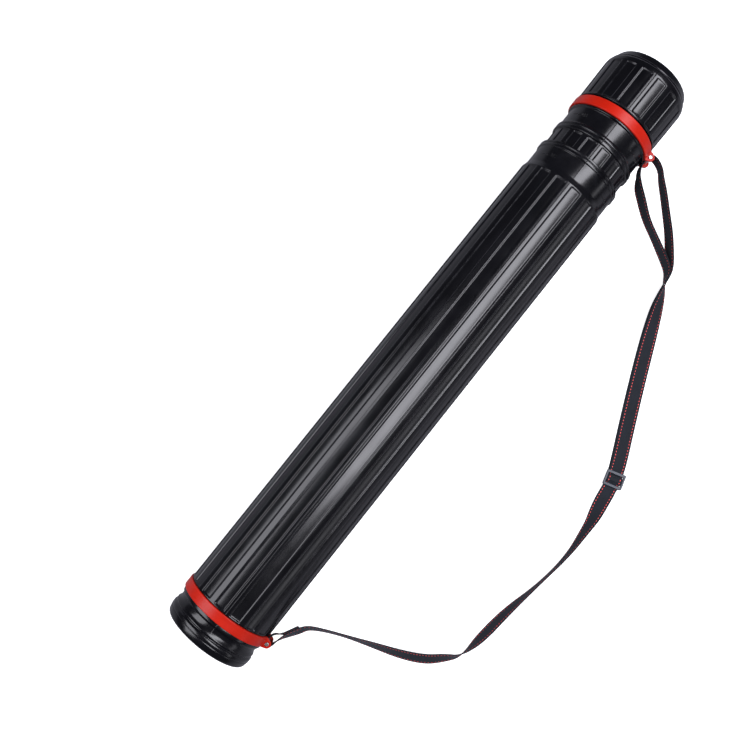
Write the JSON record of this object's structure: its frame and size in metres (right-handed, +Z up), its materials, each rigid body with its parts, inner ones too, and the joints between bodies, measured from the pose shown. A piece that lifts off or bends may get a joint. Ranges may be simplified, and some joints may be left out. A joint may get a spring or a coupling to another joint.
{
  "type": "drawing tube",
  "caption": "Telescopic round drawing tube with sunk panels, twist lock, push-on cap and an adjustable webbing shoulder strap held by split bands.",
  "frame": {"origin": "on the floor under the middle of the tube with its lugs, the tube lying on its side and closed", "axes": "+X along the tube towards the cap, +Z up, the strap and its lugs on the -Y side"},
  "size_m": [0.772, 0.3149, 0.105],
  "materials": {
    "black_shell": "satin-gloss blow-moulded polyethylene",
    "red_band": "satin moulded polypropylene",
    "pin_metal": "plain zinc-plated",
    "guide_plastic": "natural acetal",
    "seal_rubber": "soft foam rubber",
    "slider_plastic": "moulded acetal with a fine matt grain",
    "strap_webbing": "woven polyester webbing with dashed red stitch rows"
  },
  "bodies": {
    "root": {"outer_tube": "black_shell", "lower_band": "red_band", "lower_pin": "pin_metal", "lower_pin_cap": "pin_metal", "strap_tail_eye": "strap_webbing", "strap_lower_run": "strap_webbing", "strap_floor_run": "strap_webbing"},
    "carriage": {"guide_ring": "guide_plastic", "upper_band": "red_band", "upper_pin": "pin_metal", "upper_pin_cap": "pin_metal", "strap_main_flat": "strap_webbing", "strap_main_rise": "strap_webbing", "strap_upper_eye": "strap_webbing", "strap_return_rise": "strap_webbing", "strap_return_flat": "strap_webbing"},
    "barrel": {"inner_tube": "black_shell"},
    "bush": {"lock_bush": "guide_plastic"},
    "cap_carrier": {"cap_seal": "seal_rubber"},
    "cap": {"cap": "black_shell"},
    "strap_slider": {"slider": "slider_plastic", "slider_webbing": "strap_webbing"}
  },
  "joints": [
    {"name": "tube_extend", "type": "slide", "parent": "root", "child": "carriage", "axis": [1, 0, 0], "range_m": [0, 0.53], "deforming": ["strap_floor_run"]},
    {"name": "twist_lock", "type": "hinge", "parent": "carriage", "child": "barrel", "pos_m": [0, 0.00315, 0.0525], "axis": [1, 0, 0], "range_deg": [0, 22.5]},
    {"name": "bush_turn", "type": "hinge", "parent": "root", "child": "bush", "pos_m": [0.2505, 0.00315, 0.0525], "axis": [1, 0, 0], "range_deg": [0, 22.5]},
    {"name": "cap_pull", "type": "slide", "parent": "barrel", "child": "cap_carrier", "axis": [1, 0, 0], "range_m": [0, 0.1]},
    {"name": "cap_turn", "type": "hinge", "parent": "cap_carrier", "child": "cap", "pos_m": [0.35, 0.00315, 0.0525], "axis": [1, 0, 0], "range_deg": [0, 30]},
    {"name": "slider_slide", "type": "slide", "parent": "carriage", "child": "strap_slider", "axis": [0.9187, 0.395, 0], "range_m": [0, 0.09]}
  ],
  "couplings": [
    {"joint": "bush_turn", "follows": "twist_lock", "ratio": 1}
  ]
}
